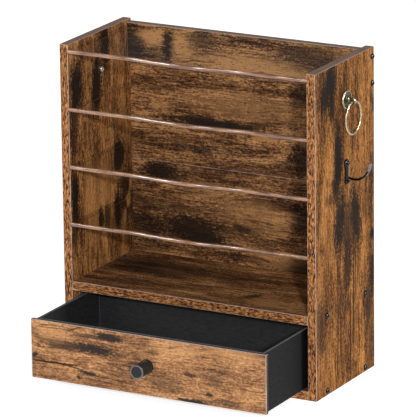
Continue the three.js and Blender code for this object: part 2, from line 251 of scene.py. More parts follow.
def banded_edge(name, along, seed=0.0):
    """Printed edge band: orange-brown with dark and pale flecks that run along the edge."""
    graph = Graph(name)
    across, depth = (axis for axis in "XYZ" if axis != along)
    place = graph.reorder(graph.place, (along, across, depth))
    ground = graph.noise(place, (4.5, 1.6, 1.6), 4.0, 0.65, seed)
    wood = graph.ramp(ground, (0.34, (96, 58, 33)), (0.52, (174, 114, 66)),
                      (0.68, (222, 162, 104)))
    flecks = graph.noise(place, (6.4, 1.6, 1.6), 3.0, 0.6, seed + 1)
    wood = graph.mix(graph.step(flecks, 0.51, 0.58, 0.0, 0.95), wood, (46, 26, 18))
    smears = graph.noise(place, (22, 3.2, 3.2), 3.0, 0.6, seed + 2)
    wood = graph.mix(graph.step(smears, 0.56, 0.68, 0.0, 0.6), wood, (58, 34, 24))
    graph.bump(ground, 0.3, 0.2 * MM)
    return graph.finish(Base_Color=wood, Roughness=graph.step(ground, 0.3, 0.7, 0.62, 0.48),
                        Specular_IOR_Level=0.06)


def plain_edge(name, along, low, high, seed=0.0):
    """Edge band without flecks: two close tones, streaked along the edge."""
    graph = Graph(name)
    across, depth = (axis for axis in "XYZ" if axis != along)
    place = graph.reorder(graph.place, (along, across, depth))
    streaks = graph.noise(place, (24, 1.1, 1.1), 4.0, 0.6, seed)
    grit = graph.noise(place, (1.2, 1.0, 1.0), 2.0, 0.6, seed + 1)
    tone = graph.spread(grit, 0.7, streaks)
    wood = graph.ramp(tone, (0.3, low), (0.7, high))
    graph.bump(streaks, 0.2, 0.15 * MM)
    return graph.finish(Base_Color=wood, Roughness=graph.step(grit, 0.3, 0.7, 0.6, 0.45),
                        Specular_IOR_Level=0.12)


# Other materials

def grained_black(name, low, high, roughness, size, specular=0.35):
    """Near-black surface with a fine mottle, size millimetres wide, in colour, gloss and relief."""
    graph = Graph(name)
    mottle = graph.noise(graph.place, (size, size, size), 4.0, 0.6)
    scuffs = graph.noise(graph.place, (size * 9, size * 9, size * 3), 4.0, 0.6, 3)
    tone = graph.spread(scuffs, 0.8, mottle)
    base = graph.ramp(tone, (0.3, low), (0.72, high))
    graph.bump(mottle, 0.25, 0.1 * MM)
    return graph.finish(Base_Color=base, Specular_IOR_Level=specular,
                        Roughness=graph.step(tone, 0.3, 0.75, roughness * 1.15, roughness * 0.85))


def brushed_metal(name, low, high, roughness, stain=None, stain_share=0.0):
    """Bare metal with fine wear, and a darker patina where stain is given."""
    graph = Graph(name)
    wear = graph.noise(graph.place, (1.6, 1.6, 1.6), 3.0, 0.55)
    cloud = graph.noise(graph.place, (5, 5, 5), 3.0, 0.55, 2)
    base = graph.ramp(wear, (0.25, low), (0.75, high))
    if stain:
        base = graph.mix(graph.step(cloud, 0.48, 0.62, 0.0, stain_share), base, stain)
    graph.bump(wear, 0.02, 0.02 * MM)
    return graph.finish(Base_Color=base, Metallic=1.0,
                        Roughness=graph.step(cloud, 0.35, 0.65, roughness * 0.8, roughness * 1.3))


def clear_acrylic():
    """The plates' faces: clear, glossy, with the finest haze in the gloss. Their faint base colour is
    painted: the dark brown of the lit boards seen through them.
    """
    graph = Graph("acrylic_clear")
    haze = graph.noise(graph.place, (14, 14, 14), 4.0, 0.6)
    # Painted: the faint faces take the brown of the boards behind them, so the sheet does not pale what
    # is seen through it.
    painted_seen_through_brown = graph.ramp(haze, (0.35, (66, 46, 32)), (0.65, (76, 54, 40)))
    return graph.finish(Base_Color=painted_seen_through_brown, Alpha=0.1, IOR=1.49, Specular_IOR_Level=0.5,
                        Roughness=graph.step(haze, 0.35, 0.65, 0.04, 0.09))


def acrylic_edge():
    """The plates' polished edges. Their opaque pinkish brown is painted light: the light and warm colour
    of the boards that a clear edge gathers and pipes, with its play along the edge standing in for light
    bent through the plate.
    """
    graph = Graph("acrylic_edge")
    along = graph.noise(graph.place, (26, 26, 4), 3.0, 0.55, 1)
    saw = graph.noise(graph.place, (0.8, 0.8, 14), 3.0, 0.6, 2)
    tone = graph.spread(saw, 0.3, along)
    # Painted light: the boards' warm colour as a clear edge carries it, given as the edge's own colour.
    base = graph.ramp(tone, (0.38, (112, 76, 56)), (0.62, (166, 120, 90)))
    graph.bump(saw, 0.06, 0.04 * MM)
    return graph.finish(Base_Color=base, IOR=1.49, Specular_IOR_Level=0.6, Coat_Weight=0.4,
                        Coat_Roughness=0.06, Roughness=graph.step(along, 0.3, 0.7, 0.12, 0.2))


TONES_SIDE = {
    "deep": (62, 40, 24), "brown": (152, 101, 58), "gold": (208, 148, 90),
    "charcoal": (36, 30, 25), "crack": (58, 32, 20),
}
TONES_OUTSIDE = {**TONES_SIDE, "brown": (150, 97, 50), "gold": (202, 138, 74)}
TONES_BACK = {
    "deep": (42, 29, 21), "brown": (126, 85, 55), "gold": (204, 150, 96),
    "charcoal": (26, 22, 20), "crack": (34, 22, 17), "pale": (176, 150, 140),
}
TONES_FRONT = {
    "deep": (84, 60, 46), "brown": (158, 112, 76), "gold": (210, 156, 106),
    "charcoal": (54, 45, 42), "crack": (56, 38, 32),
}

RIGHT_MARKS = (
    ("dark", 372, -36, 28, 14, 1),
    ("dark", 357, -51, 17, 12, 0.95),
    ("dark", 341, -33, 16, 7, 0.9),
    ("dark", 274, -17, 38, 10, 1, 2),
    ("dark", 308, -19, 28, 7, 0.6),
    ("dark", 243, -26, 14, 7, 0.9, -30),
    ("dark", 233, -38, 7, 12, 0.7),
    ("dark", 204, -15, 34, 12, 0.95, 12),
    ("dark", 200, 27, 36, 11, 0.95, -10),
    ("dark", 188, 7, 36, 22, 0.8),
    ("dark", 146, 5, 26, 10, 0.8),
    ("dark", 118, 4, 16, 6, 0.42),
    ("dark", 165, 72, 6, 8, 1),
    ("dark", 116, 69, 22, 8, 0.9),
    ("dark", 322, 74, 8, 4, 1),
    ("dark", 50, 63, 60, 13, 0.54),
    ("dark", 84, 58, 20, 10, 0.6),
    ("dark", 84, -64, 30, 11, 0.7),
    ("dark", 95, 5, 10, 6, 0.6),
    ("crack", 100, 20, 84, 1.7, 0.9, 1),
    ("crack", 55, -12, 42, 1.4, 0.85, -1),
    ("crack", 45, -21, 38, 1.3, 0.7, 2),
    ("crack", 55, 12, 62, 1.7, 0.9),
    ("crack", 150, 25, 36, 1.4, 0.75),
    ("crack", 60, 34, 36, 1.4, 0.8, -2),
    ("crack", 360, 3, 60, 1.8, 0.7),
    ("crack", 335, 66, 12, 2.4, 0.8),
    ("crack", 300, 33, 40, 1.2, 0.6),
)

LEFT_MARKS = (
    ("gold", 185, -8, 40, 30, 0.5),
    ("dark", 245, 48, 44, 26, 0.4),
    ("dark", 268, -30, 22, 12, 0.35),
    ("dark", 335, -56, 33, 15, 1),
    ("dark", 300, -62, 22, 9, 0.72),
    ("dark", 322, -10, 33, 11, 1),
    ("dark", 374, 12, 24, 11, 1),
    ("knot", 228, 40, 20, 15, 1),
    ("dark", 175, 58, 32, 15, 0.8),
    ("gold", 168, 61, 9, 5, 0.9),
    ("gold", 186, 67, 8, 4, 0.8),
    ("gold", 150, 52, 8, 4, 0.7),
    ("dark", 160, 36, 28, 8, 1),
    ("dark", 160, -4, 14, 5.5, 1),
    ("dark", 158, 10, 16, 6.5, 0.84),
    ("dark", 205, -64, 32, 9, 1),
    ("dark", 165, -66, 30, 9, 0.84),
    ("dark", 270, -66, 18, 7, 0.72),
    ("crack", 355, -47, 50, 1.3, 0.8),
    ("crack", 130, -36, 40, 1.2, 0.6),
)

RAIL_MARKS = (
    ("dark", -150, 358, 16, 26, 0.84),
    ("gold", -121, 373, 18, 8, 0.95),
    ("dark", -100, 364, 7, 20, 0.96),
    ("gold", -80, 366, 13, 18, 0.85, -12),
    ("dark", -52, 376, 22, 10, 0.72),
    ("gold", 10, 354, 60, 9, 0.7),
    ("gold", 55, 346, 40, 6, 0.7),
    ("dark", 90, 372, 40, 12, 0.72),
)

BACK_MARKS = (
    # The first four marks are painted shade: the dark at the right end of the back panel just below each
    # shelf, where the right side panel shades it.
    ("dark", 74, 318, 16, 15, 0.7),
    ("dark", 76, 242, 16, 18, 0.8),
    ("dark", 76, 168, 14, 18, 0.8),
    ("dark", 70, 106, 30, 10, 0.8),
    ("gold", 0, 300, 70, 14, 0.35),
    ("dark", -50, 272, 58, 6, 1),
    ("dark", -45, 269, 26, 5, 1),
    ("dark", -59, 240, 16, 5, 0.72),
    ("pale", 0, 217.5, 400, 0.5, 0.8),
    ("dark", -118, 206, 26, 11, 1),
    ("gold", 10, 165, 42, 18, 0.4),
    ("dark", -74, 139, 38, 16, 0.96),
    ("dark", -60, 127, 34, 9, 1),
    ("dark", -6, 147, 13, 4, 0.84, -10),
    ("gold", 40, 114, 30, 8, 0.5),
    ("dark", -140, 130, 26, 18, 0.72),
)

FRONT_MARKS = (
    ("dark", -71, 59, 27, 6.0, 1, -2),
    ("dark", -108, 58, 28, 4.5, 0.72),
    ("dark", -49, 76, 16, 4.2, 1, -4),
    ("dark", -72, 74, 24, 2.6, 0.72),
    ("crack", -96, 80, 12, 0.9, 0.9, 22),
    ("crack", -126, 34.8, 40, 1.1, 1, 1),
    ("crack", -108, 33.8, 24, 0.9, 0.9, -6),
    ("dark", -80, 29, 11, 2.0, 0.96),
    ("crack", -48, 26, 34, 0.6, 0.7, -2),
    ("knot", -91, 21.5, 3.2, 2.8, 1),
    ("knot", -150, 42, 3.4, 3.0, 0.96),
    ("dark", 58, 14.5, 20, 2.8, 1),
    ("knot", 81, 26, 4.0, 3.0, 0.9),
    ("dark", 56, 46, 8, 2.4, 0.72),
    ("dark", 88, 44, 8, 8, 0.48),
    ("dark", 8, 66, 9, 2.6, 0.6),
    ("dark", 22, 31, 20, 12, 0.36),
    ("dark", 105, 20, 16, 3, 0.6),
    ("gold", 35, 74, 26, 8, 0.6),
    ("gold", -125, 70, 24, 8, 0.5),
    ("gold", 120, 78, 40, 6, 0.4),
)

SHELF_MARKS = (
    ("dark", 60, -38, 14, 7, 0.84, 60),
    # The next mark darkens the rear left of the shelf top.
    ("dark", -80, 20, 70, 30, 0.72),
    ("crack", 10, -20, 110, 1.6, 0.7, 2),
    ("gold", 110, -50, 50, 14, 0.5),
)

PALE_LINE = plain_edge("pale_arris", "Z", (136, 116, 106), (198, 178, 168))
TOP_EDGE = plain_edge("top_edge_band", "Y", (112, 86, 70), (168, 142, 122))
RAIL_EDGE = plain_edge("rail_edge_band", "X", (112, 86, 70), (168, 142, 122), 4.0)
FLECKED_UPRIGHT = banded_edge("flecked_edge_upright", "Z")
FLECKED_LEVEL = banded_edge("flecked_edge_level", "X", 5.0)
# The drawer box's black comes as lit and shaded copies: the first, lighter one is painted light for the
# box's faces in shade, the second, deeper one painted shade for the lit outward side faces.
BLACK_BOARD = grained_black("black_fibreboard", (30, 30, 32), (50, 50, 52), 0.66, 0.9, 0.25)
BLACK_BOARD_PAINTED_SHADE_OUTSIDE = grained_black("black_fibreboard_painted_shade_outside", (7, 7, 8), (16, 16, 17), 0.72, 0.9, 0.16)
BACK_PAPER = plain_edge("back_hardboard", "X", (58, 42, 32), (92, 70, 54), 8.0)
BLACK_METAL = grained_black("black_steel", (5, 5, 6), (14, 14, 16), 0.17, 0.6, 0.3)
# Painted reflection: a bright steel for the spoon end's outer face, standing for the bright room it
# mirrors; the spoon itself is as black as the hook.
SPOON_PAINTED_REFLECTION = brushed_metal("spoon_steel_painted_reflection", (66, 67, 70), (128, 130, 134), 0.2, (30, 30, 32), 0.5)
KNOB_BLACK = grained_black("knob_black", (28, 29, 31), (46, 47, 49), 0.36, 0.5, 0.15)
# Painted highlight: the knob's front rim is a lighter grey, for the light ring that its rounded rim
# catches.
KNOB_RIM_PAINTED_HIGHLIGHT = grained_black("knob_rim_painted_highlight", (84, 85, 87), (112, 113, 115), 0.35, 0.5)
BRASS = brushed_metal("antique_brass", (152, 136, 104), (204, 188, 152), 0.28, (100, 86, 62), 0.6)
DARK_BRASS = brushed_metal("dark_brass", (44, 42, 38), (84, 80, 72), 0.3, (30, 28, 26), 0.6)
BRIGHT = brushed_metal("bright_steel", (206, 208, 212), (240, 241, 244), 0.38)
CLEAR = clear_acrylic()
CLEAR_EDGE = acrylic_edge()


# Mesh tools

def add_object(name, data):
    """Puts an object in the scene."""
    made = bpy.data.objects.new(name, data)
    bpy.context.scene.collection.objects.link(made)
    return made


def make_piece(name, mesh, materials, body, nodes, smooth_under=None):
    """Turns a bmesh into a piece that rides on a body and stands for CAD nodes."""
    bmesh.ops.recalc_face_normals(mesh, faces=mesh.faces)
    data = bpy.data.meshes.new(name)
    mesh.to_mesh(data)
    mesh.free()
    for material in materials:
        data.materials.append(material)
    if smooth_under:
        data.shade_smooth()
        data.set_sharp_from_angle(angle=math.radians(smooth_under))
    made = add_object(name, data)
    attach(made, body)
    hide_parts(*nodes)
    return made


def soften(mesh, low, high, width, material_index, segments=2):
    """Rounds the arrises of the box from low to high, and gives the new faces their own material."""
    def on_box(edge):
        """How many of the box's sides the edge lies in; a groove's own edges lie in one at most."""
        return sum(all(abs(vertex.co[axis] - side[axis]) < 0.01 * MM for vertex in edge.verts)
                   for axis in range(3) for side in (low, high))
    edges = [edge for edge in mesh.edges if on_box(edge) == 2]
    bmesh.ops.bevel(mesh, geom=edges, offset=width, segments=segments, profile=0.5,
                    affect="EDGES", material=material_index)


def block(low, high, notches=()):
    """A box less the box-shaped notches: the cells between all the cut planes that stay filled."""
    cuts = []
    for axis in range(3):
        inside = {low[axis], high[axis]}
        for corner in (corner for notch in notches for corner in notch):
            inside.add(min(max(corner[axis], low[axis]), high[axis]))
        cuts.append(sorted(inside))

    def filled(cell):
        if any(i < 0 or i >= len(planes) - 1 for i, planes in zip(cell, cuts)):
            return False
        middle = [(planes[i] + planes[i + 1]) / 2 for i, planes in zip(cell, cuts)]
        return not any(all(a < m < b for a, m, b in zip(near, middle, far)) for near, far in notches)

    mesh = bmesh.new()
    corners = {}

    def corner_at(index):
        if index not in corners:
            corners[index] = mesh.verts.new([planes[i] for i, planes in zip(index, cuts)])
        return corners[index]

    cells = product(*(range(len(planes) - 1) for planes in cuts))
    for cell in filter(filled, cells):
        for axis in range(3):
            for side in (0, 1):
                beyond = list(cell)
                beyond[axis] += 2 * side - 1
                if filled(tuple(beyond)):
                    continue
                first, second = (a for a in range(3) if a != axis)
                loop = []
                for step_one, step_two in ((0, 0), (1, 0), (1, 1), (0, 1)):
                    index = list(cell)
                    index[axis] += side
                    index[first] += step_one
                    index[second] += step_two
                    loop.append(corner_at(tuple(index)))
                mesh.faces.new(loop)
    bmesh.ops.recalc_face_normals(mesh, faces=mesh.faces)
    bmesh.ops.dissolve_limit(mesh, angle_limit=math.radians(1), verts=mesh.verts, edges=mesh.edges)
    return mesh


def board(name, node, materials, choose, body="carcass", notches=(), arris=ARRIS):
    """A board in its CAD node's box. choose gives a face's material from its normal and middle."""
    low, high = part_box(node)
    mesh = block(low, high, notches)
    for face in mesh.faces:
        face.material_index = choose(face.normal, face.calc_center_median())
    soften(mesh, low, high, arris, len(materials) - 1)
    return make_piece(name, mesh, materials, body, [node])


def round_outline(_angle):
    return 1.0


def hexagon(angle):
    """A regular hexagon whose corners lie on the unit circle."""
    sector = math.pi / 3
    return math.cos(sector / 2) / math.cos(angle % sector - sector / 2)


def cross(angle):
    """A cross recess: four arms, each a little under a third as wide as the cross."""
    arm = 0.3
    across = max(abs(math.sin(angle)), 1e-6)
    along = max(abs(math.cos(angle)), 1e-6)
    return max(min(1.0, arm / across), min(1.0, arm / along))


def turned(mesh, profile, start, direction, segments=48):
    """Adds a solid of revolution. Its profile is (distance, radius) or (distance, radius, outline)."""
    turn = Vector(direction).to_track_quat("Z", "X").to_matrix()
    rings = []
    for distance, radius, *outline in profile:
        shape = outline[0] if outline else round_outline
        if radius == 0:
            rings.append([mesh.verts.new(Vector(start) + turn @ Vector((0, 0, distance)))])
            continue
        ring = []
        for i in range(segments):
            angle = 2 * math.pi * i / segments
            reach = radius * shape(angle)
            spot = Vector((reach * math.cos(angle), reach * math.sin(angle), distance))
            ring.append(mesh.verts.new(Vector(start) + turn @ spot))
        rings.append(ring)
    closed = len(rings[0]) > 1 and len(rings[-1]) > 1
    pairs = list(zip(rings, rings[1:]))
    if closed:
        pairs.append((rings[-1], rings[0]))
    for first, second in pairs:
        for i in range(segments):
            loop = (first[i % len(first)], first[(i + 1) % len(first)],
                    second[(i + 1) % len(second)], second[i % len(second)])
            mesh.faces.new(list(dict.fromkeys(loop)))


def rounded(profile, corner):
    """The profile with each inner corner cut into a small arc, about corner across."""
    points = [Vector(point[:2]) for point in profile]
    made = [profile[0]]
    for before, here, after in zip(points, points[1:], points[2:]):
        back = before - here
        on = after - here
        reach = min(corner, back.length * 0.45, on.length * 0.45)
        first = here + back.normalized() * reach
        last = here + on.normalized() * reach
        for share in (0.0, 0.3, 0.7, 1.0):
            point = first.lerp(here, share).lerp(here.lerp(last, share), share)
            made.append(tuple(point))
    made.append(profile[-1])
    return made


def join_loops(mesh, loops):
    """Makes the faces between each closed loop of corners and the next."""
    for first, second in zip(loops, loops[1:]):
        for i in range(len(first)):
            after = (i + 1) % len(first)
            mesh.faces.new((first[i], first[after], second[after], second[i]))


def tube(mesh, path, half_width, half_height, sides):
    """A closed tube of oval section along a path in a plane of constant Y."""
    rings = []
    side = Vector((0, 1, 0))
    for i, point in enumerate(path):
        ahead = (path[min(i + 1, len(path) - 1)] - path[max(i - 1, 0)]).normalized()
        up = ahead.cross(side).normalized()
        rings.append([mesh.verts.new(point + side * (half_width * math.cos(angle))
                                     + up * (half_height * math.sin(angle)))
                      for angle in (2 * math.pi * k / sides for k in range(sides))])
    join_loops(mesh, rings)
    mesh.faces.new(rings[0][::-1])
    mesh.faces.new(rings[-1])


def smooth_path(points, steps):
    """A Catmull-Rom curve through the points."""
    ends = [points[0] * 2 - points[1], *points, points[-1] * 2 - points[-2]]
    made = []
    for a, b, c, d in zip(ends, ends[1:], ends[2:], ends[3:]):
        for i in range(steps):
            t = i / steps
            made.append(0.5 * (2 * b + (c - a) * t + (2 * a - 5 * b + 4 * c - d) * t * t
                               + (3 * b - a - 3 * c + d) * t ** 3))
    made.append(points[-1])
    return made


# Carcass

def panel_notches(sign):
    """The grooves for the acrylic shelves and the rebate for the back panel."""
    notches = []
    for number in SHELF_NUMBERS:
        low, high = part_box(f"acrylic_shelf_{number}")
        inner = sign * (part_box("bottom_board")[1].x + GROOVE_SEEN)
        lows = Vector((min(inner, 0), low.y - 1, low.z - GROOVE_PLAY))
        highs = Vector((max(inner, 0), high.y + GROOVE_PLAY, high.z + GROOVE_PLAY))
        notches.append((lows, highs))
    low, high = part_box("back_panel")
    inner = sign * (high.x + REBATE_PLAY)
    notches.append((Vector((min(inner, 0), low.y - REBATE_PLAY, -1)),
                    Vector((max(inner, 0), 1, high.z + REBATE_PLAY))))
    return notches


def make_side(name, sign, outer, inner):
    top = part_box(f"{name}_side_panel")[1].z

    def choose(normal, middle):
        if normal.z > 0.9 and middle.z > top - 1 * MM:
            return 3
        if abs(normal.x) < 0.5:
            return 2
        return 0 if normal.x * sign > 0 else 1
    board(f"{name}_side_board", f"{name}_side_panel",
          [outer, inner, FLECKED_UPRIGHT, TOP_EDGE, PALE_LINE], choose, notches=panel_notches(sign))


def make_carcass():
    make_side("right", 1,
              printed_wood("wood_right_outside", "Z", "Y", TONES_OUTSIDE, RIGHT_MARKS, 1.0, 0.35),
              printed_wood("wood_right_inside", "Z", "Y", TONES_BACK, (), 2.0, 0.7))
    make_side("left", -1,
              printed_wood("wood_left_outside", "Z", "Y", TONES_OUTSIDE, (), 3.0, 0.8),
              printed_wood("wood_left_inside", "Z", "Y", TONES_SIDE, LEFT_MARKS, 4.0, 0.3))

    def level(normal, _middle):
        return 0 if abs(normal.z) > 0.5 else 1
    shelf_wood = printed_wood("wood_shelf", "X", "Y", TONES_BACK, SHELF_MARKS, 5.0, 0.6, 0.85)
    base_wood = printed_wood("wood_base", "X", "Y", TONES_SIDE, (), 6.0, 0.6)
    board("drawer_shelf_board", "drawer_shelf", [shelf_wood, FLECKED_LEVEL, PALE_LINE], level)
    board("base_board", "bottom_board", [base_wood, FLECKED_LEVEL, PALE_LINE], level)

    def upright(normal, _middle):
        return 0 if abs(normal.y) > 0.5 else 1
    rail_wood = printed_wood("wood_rail", "X", "Z", TONES_BACK, RAIL_MARKS, 7.0, 0.5, 1.1)
    board("top_rail_board", "top_back_rail", [rail_wood, RAIL_EDGE, PALE_LINE], upright)

    def thin(normal, _middle):
        return 0 if normal.y < -0.5 else 1
    back_wood = printed_wood("wood_back", "X", "Z", TONES_BACK, BACK_MARKS, 8.0, 0.5, 0.95)
    board("back_sheet", "back_panel", [back_wood, BACK_PAPER, BACK_PAPER], thin, arris=THIN_ARRIS)


def make_acrylic_shelf(number):
    """A clear plate with a polished front edge that waves forward in the middle."""
    node = f"acrylic_shelf_{number}"
    low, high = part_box(node)
    straight = low.y + WAVE_REACH
    front_limit = straight + 1 * MM
    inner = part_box("bottom_board")[1].x
    reach = WAVE_SHARE * inner
    end = inner + GROOVE_SEEN - GROOVE_PLAY
    front = []
    for i in range(WAVE_STEPS + 1):
        share = i / WAVE_STEPS
        wave = WAVE_REACH * math.sin(math.pi * share) ** 2
        front.append((reach * (2 * share - 1), straight - wave))
    outline = [(-end, straight), *front, (end, straight), (end, high.y), (-end, high.y)]
    mesh = bmesh.new()
    bottom = [mesh.verts.new((x, y, low.z)) for x, y in outline]
    top = [mesh.verts.new((x, y, high.z)) for x, y in outline]
    mesh.faces.new(bottom[::-1])
    mesh.faces.new(top)
    for i, corner in enumerate(bottom):
        after = (i + 1) % len(bottom)
        face = mesh.faces.new((corner, bottom[after], top[after], top[i]))
        face.material_index = 1 if max(corner.co.y, bottom[after].co.y) < front_limit else 0
    bmesh.ops.recalc_face_normals(mesh, faces=mesh.faces)
    rims = [edge for edge in mesh.edges
            if abs(edge.verts[0].co.z - edge.verts[1].co.z) < 0.1 * MM
            and max(vertex.co.y for vertex in edge.verts) < front_limit]
    bmesh.ops.bevel(mesh, geom=rims, offset=ACRYLIC_ARRIS, segments=4, profile=0.5, affect="EDGES",
                    material=1)
    make_piece(f"clear_shelf_{number}", mesh, [CLEAR, CLEAR_EDGE], f"shelf_{number}", [node],
               smooth_under=35)


# Drawer

def make_drawer():
    """The printed front and the black box. The box's outward side faces take a deeper black, painted
    shade against the light they catch, and its other faces a lighter black, painted light for the inside
    in shade.
    """
    def front_faces(normal, _middle):
        return 0 if normal.y < -0.5 else (1 if normal.y > 0.5 else 2)
    front_wood = printed_wood("wood_drawer_front", "X", "Z", TONES_FRONT, FRONT_MARKS, 9.0, 0.15, 0.8)
    front_edge = plain_edge("front_edge_band", "X", (44, 34, 29), (96, 72, 56))
    board("drawer_front_board", "drawer_front", [front_wood, BACK_PAPER, front_edge, PALE_LINE],
          front_faces, "drawer", arris=WIDE_ARRIS)

    # The outward side faces get the deeper, painted-shade black.
    def box_faces(normal, middle):
        return 1 if abs(normal.x) > 0.5 and normal.x * middle.x > 0 else 0
    black_edge = plain_edge("black_board_arris", "X", (84, 84, 86), (124, 124, 126))
    for node in ("drawer_box_front", "drawer_left_wall", "drawer_right_wall", "drawer_back_wall",
                 "drawer_floor"):
        board(f"{node}_board", node, [BLACK_BOARD, BLACK_BOARD_PAINTED_SHADE_OUTSIDE, black_edge], box_faces,
              "drawer", arris=WIDE_ARRIS)


def make_knob():
    low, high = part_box("drawer_knob")
    radius = (high.x - low.x) / 2
    axis = Vector(((low.x + high.x) / 2, high.y, (low.z + high.z) / 2))
    length = high.y - low.y
    profile = rounded([
        (0, 0),
        (0, radius - 0.4 * MM),
        (0.5 * MM, radius),
        (4.6 * MM, radius),
        (5.4 * MM, radius - 3 * MM),
        (8.2 * MM, radius - 3 * MM),
        (9.2 * MM, radius - 0.4 * MM),
        (length - 3 * MM, radius - 0.4 * MM),
        (length - 2.6 * MM, radius),
        (length - 0.7 * MM, radius),
        (length, radius - 0.7 * MM),
        (length, radius - 1.5 * MM),
        (length - 0.25 * MM, radius - 1.8 * MM),
        (length - 0.25 * MM, 0),
    ], 0.25 * MM)
    mesh = bmesh.new()
    turned(mesh, profile, axis, (0, -1, 0), 72)
    rim_line = low.y + 0.75 * MM
    # The front rim faces take the lighter grey, a painted highlight of the light ring on the rounded
    # rim.
    for face in mesh.faces:
        middle = face.calc_center_median()
        off_axis = math.hypot(middle.x - axis.x, middle.z - axis.z)
        if middle.y < rim_line and off_axis > radius - 1.6 * MM:
            face.material_index = 1
    make_piece("round_knob", mesh, [KNOB_BLACK, KNOB_RIM_PAINTED_HIGHLIGHT], "drawer", ["drawer_knob"],
               smooth_under=30)


# Fasteners

# Each screw's head height and shank radius.
BOARD_SCREW = (2.4 * MM, 1.75 * MM)
HOOK_SCREW = (1.3 * MM, 1.2 * MM)
KNOB_SCREW = (2.2 * MM, 1.6 * MM)
FRONT_SCREW = (1.6 * MM, 1.6 * MM)


def make_screw(name, node, direction, sizes, material, body="carcass"):
    """A round-headed cross-recess screw in its CAD node's box, its head toward direction."""
    low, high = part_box(node)
    head_height, shank_radius = sizes
    axis = max(range(3), key=lambda i: abs(direction[i]))
    other = (axis + 1) % 3
    radius = (high[other] - low[other]) / 2
    length = high[axis] - low[axis]
    tip = (low + high) / 2
    tip[axis] = low[axis] if direction[axis] > 0 else high[axis]
    seat = length - head_height
    profile = [
        (0, 0),
        (shank_radius * 2, shank_radius),
        (seat, shank_radius),
        (seat, radius * 0.97),
        (seat + head_height * 0.12, radius),
        (seat + head_height * 0.35, radius * 0.985),
        (seat + head_height * 0.62, radius * 0.9),
        (seat + head_height * 0.84, radius * 0.72),
        (length, radius * 0.5),
        (length, radius * 0.46, cross),
        (length - head_height * 0.5, radius * 0.36, cross),
        (length - head_height * 0.62, 0),
    ]
    mesh = bmesh.new()
    turned(mesh, profile, tip, direction, 48)
    make_piece(name, mesh, [material], body, [node], smooth_under=38)


def make_fasteners():
    for side, sign in SIDES.items():
        for place in ("bottom", "shelf", "rail", "hook"):
            sizes = HOOK_SCREW if place == "hook" else BOARD_SCREW
            for number in (1, 2):
                node = f"{side}_{place}_screw_{number}"
                make_screw(f"{node}_head", node, (sign, 0, 0), sizes, BLACK_METAL)
    make_screw("knob_screw_head", "drawer_knob_screw", (0, 1, 0), KNOB_SCREW, BRIGHT,
               "drawer")
    for number in (1, 2):
        make_screw(f"front_screw_{number}_head", f"drawer_front_screw_{number}", (0, 1, 0),
                   FRONT_SCREW, BRIGHT, "drawer")
    for number in range(1, 9):
        make_pin(number)


def make_pin(number):
    """One of the flat-headed pins that hold the back panel."""
    low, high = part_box(f"back_pin_{number}")
    radius = (high.x - low.x) / 2
    start = Vector(((low.x + high.x) / 2, low.y, (low.z + high.z) / 2))
    length = high.y - low.y
    head = 0.55 * MM
    shank = 0.7 * MM
    profile = [
        (0, 0),
        (shank * 2, shank),
        (length - head, shank),
        (length - head, radius),
        (length - head * 0.5, radius),
        (length - head * 0.15, radius * 0.85),
        (length, radius * 0.4),
        (length, 0),
    ]
    mesh = bmesh.new()
    turned(mesh, profile, start, (0, 1, 0), 28)
    make_piece(f"back_pin_{number}_head", mesh, [BRIGHT], "carcass", [f"back_pin_{number}"],
               smooth_under=38)


# Ring pulls and hooks

STUD_BORE = 1.75 * MM
EYE_HOLE = 1.95 * MM
RING_WIRE = 1.5 * MM


def make_ring_pull(side, sign):
    """A dished rosette, the eye stud through it and its nut, and the ring."""
    outward = Vector((sign, 0, 0))
    low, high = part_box(f"{side}_ring_rosette")
    rim = (high.y - low.y) / 2
    base = Vector((low.x if sign > 0 else high.x, (low.y + high.y) / 2, (low.z + high.z) / 2))
    thick = high.x - low.x
    profile = rounded([
        (0, STUD_BORE),
        (0, rim),
        (1.5 * MM, rim),
        (2.5 * MM, rim - 0.5 * MM),
        (2.9 * MM, rim - 1.3 * MM),
        (2.2 * MM, rim - 2.4 * MM),
        (1.8 * MM, rim - 5 * MM),
        (2.2 * MM, STUD_BORE + 2.6 * MM),
        (thick, STUD_BORE + 1.8 * MM),
        (thick, STUD_BORE),
    ], 0.4 * MM)
    mesh = bmesh.new()
    turned(mesh, profile, base, outward, 72)
    for face in mesh.faces:
        middle = face.calc_center_median()
        off_axis = math.hypot(middle.y - base.y, middle.z - base.z)
        if off_axis < rim - 1.7 * MM and abs(middle.x - base.x) > 1 * MM:
            face.material_index = 1
    make_piece(f"{side}_rosette", mesh, [BRASS, DARK_BRASS], "carcass", [f"{side}_ring_rosette"],
               smooth_under=50)
    make_eye(side, sign, base + outward * thick)
    make_nut(side, sign)
    make_ring(side)


